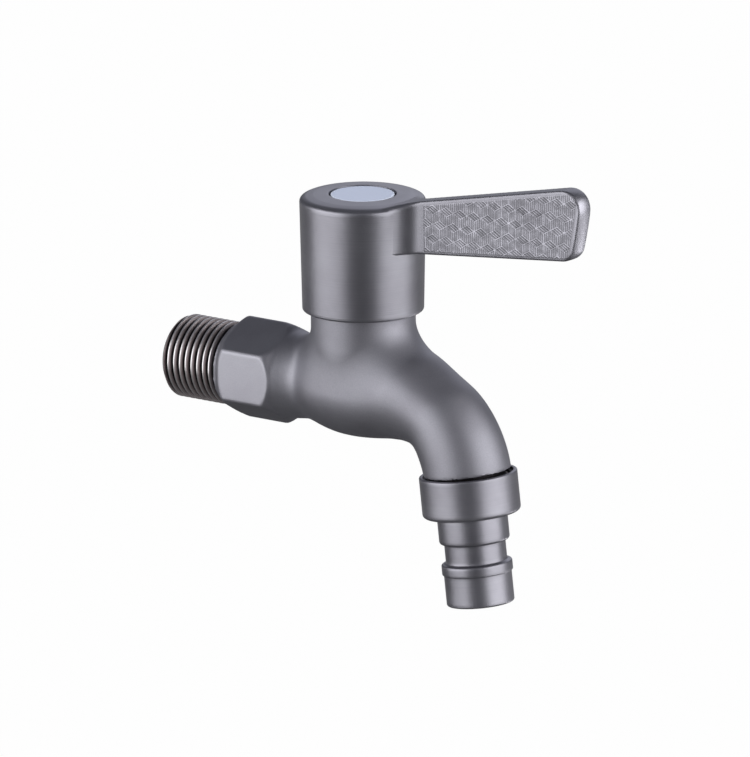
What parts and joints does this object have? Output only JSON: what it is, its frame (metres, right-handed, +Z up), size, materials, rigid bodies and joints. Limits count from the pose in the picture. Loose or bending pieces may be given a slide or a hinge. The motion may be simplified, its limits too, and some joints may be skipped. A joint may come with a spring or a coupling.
{
  "type": "washing machine tap",
  "caption": "Quarter-turn washing machine tap with a threaded wall inlet, curved spout, lever handle, union nut and stepped hose nozzle.",
  "frame": {"origin": "on the inlet's axis, at the shoulder where the inlet thread meets the hexagon", "axes": "+X from the wall towards the spout, +Z up along the valve's axis, +Y to the far side; the lever lies along +X at rest"},
  "size_m": [0.1254, 0.0314, 0.1111],
  "materials": {
    "cast_body": "satin gunmetal plating over a blasted brass casting",
    "handle_metal": "satin gunmetal plating, finely brushed round the hub, with a cube pattern on the lever",
    "index_disc": "pale blue-grey, smooth",
    "turned_metal": "satin gunmetal plating with fine turning lines",
    "nozzle_metal": "satin gunmetal plating with fine turning lines",
    "headpart_brass": "machined, bare",
    "spindle_brass": "machined, bare",
    "clip_bronze": "stamped spring bronze",
    "slide_plastic": "moulded acetal, white",
    "gasket_fibre": "pressed fibre, dull red",
    "seal_rubber": "moulded rubber, black",
    "ceramic": "lapped alumina ceramic, ivory",
    "insert_plastic": "moulded glass-filled nylon, dark grey",
    "screw_steel": "plain steel"
  },
  "bodies": {
    "tap": {"tap_body": "cast_body", "cartridge_housing": "headpart_brass", "collar_gasket": "gasket_fibre", "fixed_disc": "ceramic", "seat_seal": "seal_rubber", "seal_support_ring": "slide_plastic"},
    "lever": {"handle": "handle_metal", "spline_insert": "insert_plastic", "handle_screw": "screw_steel", "screw_washer": "screw_steel", "index_cap": "index_disc", "spindle": "spindle_brass", "spindle_clip": "clip_bronze", "thrust_washer": "slide_plastic", "spindle_oring_lower": "seal_rubber", "spindle_oring_upper": "seal_rubber", "moving_disc": "ceramic"},
    "nozzle": {"hose_nozzle": "nozzle_metal", "nozzle_gasket": "seal_rubber"},
    "nut": {"hose_nut": "turned_metal"}
  },
  "joints": [
    {"name": "handle_turn", "type": "hinge", "parent": "tap", "child": "lever", "pos_m": [0.0395, 0, 0], "axis": [0, 0, 1], "range_deg": [0, 90]},
    {"name": "nozzle_drop", "type": "slide", "parent": "tap", "child": "nozzle", "axis": [0.1149, 0, -0.9934], "range_m": [0, 0.0045]},
    {"name": "nut_turn", "type": "hinge", "parent": "nozzle", "child": "nut", "pos_m": [0.07177, 0, -0.01774], "axis": [0.1149, 0, -0.9934], "range_deg": [0, 900]}
  ],
  "couplings": [
    {"joint": "nut_turn", "follows": "nozzle_drop", "rad_per_m": 3463.7}
  ]
}
